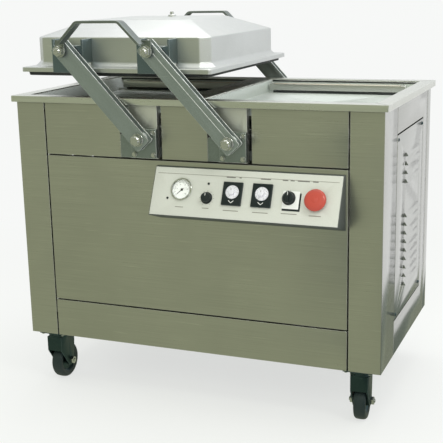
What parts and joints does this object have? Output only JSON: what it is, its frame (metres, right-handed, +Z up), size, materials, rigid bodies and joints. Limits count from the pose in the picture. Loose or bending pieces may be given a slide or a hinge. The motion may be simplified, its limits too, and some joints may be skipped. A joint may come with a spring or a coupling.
{
  "type": "vacuum packing machine",
  "caption": "Double-chamber vacuum packing machine on casters, with one lid that swings on parallel arms from chamber to chamber and a sloping front control box.",
  "frame": {"origin": "centre of the cabinet's footprint on the floor", "axes": "+Z up, +X to the operator's right, the operator and the control box on the -Y side"},
  "size_m": [1.022, 0.728, 1.0213],
  "materials": {
    "frame_steel": "dark painted steel",
    "front_stainless": "brushed stainless, warm reflection",
    "side_stainless": "brushed stainless",
    "rim_stainless": "satin stainless",
    "well_stainless": "satin stainless",
    "bearing_steel": "satin steel",
    "black_rubber": "matt rubber",
    "pump_paint": "enamel",
    "galvanised_pipe": "galvanised",
    "copper_windings": "varnished",
    "electrical_plastic": "matt",
    "black_plastic": "satin",
    "cream_paint": "semi-gloss paint",
    "gauge_chrome": "polished",
    "white_dial": "printed card",
    "clear_glass": "clear",
    "white_plate": "gloss",
    "stop_collar": "satin",
    "bright_fastener": "zinc plated",
    "caster_zinc": "dark zinc",
    "lid_aluminium": "satin",
    "silicone": "matt",
    "bracket_steel": "satin",
    "handle_steel": "satin",
    "arm_steel": "satin",
    "needle_black": "matt",
    "timer_cap": "satin white",
    "stop_red": "gloss",
    "bar_aluminium": "satin",
    "wheel_rubber": "rubber"
  },
  "bodies": {
    "cabinet": {"chassis_frame": "frame_steel", "corner_posts": "front_stainless", "front_fascia": "front_stainless", "front_access_panel": "front_stainless", "front_bottom_rail": "front_stainless", "rear_fascia": "front_stainless", "rear_access_panel": "front_stainless", "side_skins": "side_stainless", "louvre_panels": "side_stainless", "top_rim": "rim_stainless", "table_wells": "well_stainless", "centre_divider": "rim_stainless", "bearing_posts": "bearing_steel", "bearing_blocks": "bracket_steel", "bar_bladders": "black_rubber", "vacuum_pump": "pump_paint", "pump_motor": "pump_paint", "suction_pipework": "galvanised_pipe", "transformer": "copper_windings", "contactor_board": "electrical_plastic", "cable_gland": "black_plastic", "control_box": "frame_steel", "control_face": "cream_paint", "gauge_case": "gauge_chrome", "gauge_dial": "white_dial", "gauge_glass": "clear_glass", "timer_bezels": "black_plastic", "switch_plate": "white_plate", "stop_base": "stop_collar", "panel_screws": "bright_fastener", "caster_plates": "caster_zinc"},
    "lid": {"lid_shell": "lid_aluminium", "lid_seal": "black_rubber", "lid_press_strips": "silicone", "lid_brackets": "bracket_steel", "lid_handles": "handle_steel", "lid_valve": "gauge_chrome", "lid_pins": "bright_fastener"},
    "left_arm_pair": {"left_arms": "arm_steel", "left_shaft": "bright_fastener"},
    "right_arm_pair": {"right_arms": "arm_steel", "right_shaft": "bright_fastener"},
    "seal_bar_left_front_body": {"seal_bar_left_front": "bar_aluminium"},
    "seal_bar_left_rear_body": {"seal_bar_left_rear": "bar_aluminium"},
    "seal_bar_right_front_body": {"seal_bar_right_front": "bar_aluminium"},
    "seal_bar_right_rear_body": {"seal_bar_right_rear": "bar_aluminium"},
    "needle": {"gauge_needle": "needle_black"},
    "vacuum_knob_body": {"vacuum_knob": "black_plastic"},
    "timer_knob_left_body": {"timer_knob_left": "timer_cap"},
    "timer_knob_right_body": {"timer_knob_right": "timer_cap"},
    "mode_switch_body": {"mode_switch": "black_plastic"},
    "stop_button_body": {"stop_button": "stop_red"},
    "fork_front_left": {"caster_fork_front_left": "caster_zinc"},
    "wheel_front_left": {"caster_wheel_front_left": "wheel_rubber"},
    "fork_front_right": {"caster_fork_front_right": "caster_zinc"},
    "wheel_front_right": {"caster_wheel_front_right": "wheel_rubber"},
    "fork_rear_left": {"caster_fork_rear_left": "caster_zinc"},
    "wheel_rear_left": {"caster_wheel_rear_left": "wheel_rubber"},
    "fork_rear_right": {"caster_fork_rear_right": "caster_zinc"},
    "wheel_rear_right": {"caster_wheel_rear_right": "wheel_rubber"}
  },
  "joints": [
    {"name": "lid_swing", "type": "hinge", "parent": "cabinet", "child": "left_arm_pair", "pos_m": [-0.122, 0, 0.717], "axis": [0, 1, 0], "range_deg": [-13.21, 99.22]},
    {"name": "right_arm_swing", "type": "hinge", "parent": "cabinet", "child": "right_arm_pair", "pos_m": [0.122, 0, 0.717], "axis": [0, 1, 0], "range_deg": [-13.21, 99.22]},
    {"name": "lid_level", "type": "hinge", "parent": "left_arm_pair", "child": "lid", "pos_m": [-0.328, 0, 0.93783], "axis": [0, 1, 0], "range_deg": [-99.22, 13.21]},
    {"name": "seal_bar_left_front_lift", "type": "slide", "parent": "cabinet", "child": "seal_bar_left_front_body", "axis": [0, 0, 1], "range_m": [0, 0.01]},
    {"name": "seal_bar_left_rear_lift", "type": "slide", "parent": "cabinet", "child": "seal_bar_left_rear_body", "axis": [0, 0, 1], "range_m": [0, 0.01]},
    {"name": "seal_bar_right_front_lift", "type": "slide", "parent": "cabinet", "child": "seal_bar_right_front_body", "axis": [0, 0, 1], "range_m": [0, 0.01]},
    {"name": "seal_bar_right_rear_lift", "type": "slide", "parent": "cabinet", "child": "seal_bar_right_rear_body", "axis": [0, 0, 1], "range_m": [0, 0.01]},
    {"name": "needle_turn", "type": "hinge", "parent": "cabinet", "child": "needle", "pos_m": [-0.005, -0.32488, 0.59561], "axis": [0, -0.9033, 0.4289], "range_deg": [-270, 0], "stiffness_Nm_per_rad": 0.002},
    {"name": "vacuum_knob_turn", "type": "hinge", "parent": "cabinet", "child": "vacuum_knob_body", "pos_m": [0.066, -0.3326, 0.57935], "axis": [0, -0.9033, 0.4289], "range_deg": [-150, 150]},
    {"name": "timer_knob_left_turn", "type": "hinge", "parent": "cabinet", "child": "timer_knob_left_body", "pos_m": [0.133, -0.32488, 0.59561], "axis": [0, -0.9033, 0.4289], "range_deg": [-150, 150]},
    {"name": "timer_knob_right_turn", "type": "hinge", "parent": "cabinet", "child": "timer_knob_right_body", "pos_m": [0.21, -0.32488, 0.59561], "axis": [0, -0.9033, 0.4289], "range_deg": [-150, 150]},
    {"name": "mode_switch_turn", "type": "hinge", "parent": "cabinet", "child": "mode_switch_body", "pos_m": [0.279, -0.32745, 0.59019], "axis": [0, -0.9033, 0.4289], "range_deg": [-45, 45]},
    {"name": "stop_press", "type": "slide", "parent": "cabinet", "child": "stop_button_body", "axis": [0, 0.9033, -0.4289], "range_m": [0, 0.005]},
    {"name": "swivel_front_left", "type": "hinge", "parent": "cabinet", "child": "fork_front_left", "pos_m": [-0.44, -0.248, 0.138], "axis": [0, 0, 1], "continuous": true},
    {"name": "roll_front_left", "type": "hinge", "parent": "fork_front_left", "child": "wheel_front_left", "pos_m": [-0.44, -0.222, 0.05], "axis": [1, 0, 0], "continuous": true},
    {"name": "swivel_front_right", "type": "hinge", "parent": "cabinet", "child": "fork_front_right", "pos_m": [0.44, -0.248, 0.138], "axis": [0, 0, 1], "continuous": true},
    {"name": "roll_front_right", "type": "hinge", "parent": "fork_front_right", "child": "wheel_front_right", "pos_m": [0.43819, -0.22206, 0.05], "axis": [0.9976, 0.0698, 0], "continuous": true},
    {"name": "swivel_rear_left", "type": "hinge", "parent": "cabinet", "child": "fork_rear_left", "pos_m": [-0.38, 0.228, 0.138], "axis": [0, 0, 1], "continuous": true},
    {"name": "roll_rear_left", "type": "hinge", "parent": "fork_rear_left", "child": "wheel_rear_left", "pos_m": [-0.37459, 0.25343, 0.05], "axis": [0.9781, -0.2079, 0], "continuous": true},
    {"name": "swivel_rear_right", "type": "hinge", "parent": "cabinet", "child": "fork_rear_right", "pos_m": [0.38, 0.228, 0.138], "axis": [0, 0, 1], "continuous": true},
    {"name": "roll_rear_right", "type": "hinge", "parent": "fork_rear_right", "child": "wheel_rear_right", "pos_m": [0.38, 0.254, 0.05], "axis": [1, 0, 0], "continuous": true}
  ],
  "couplings": [
    {"joint": "right_arm_swing", "follows": "lid_swing", "ratio": 1},
    {"joint": "lid_level", "follows": "lid_swing", "ratio": -1},
    {"joint": "seal_bar_left_rear_lift", "follows": "seal_bar_left_front_lift", "ratio": 1},
    {"joint": "seal_bar_right_rear_lift", "follows": "seal_bar_right_front_lift", "ratio": 1}
  ]
}
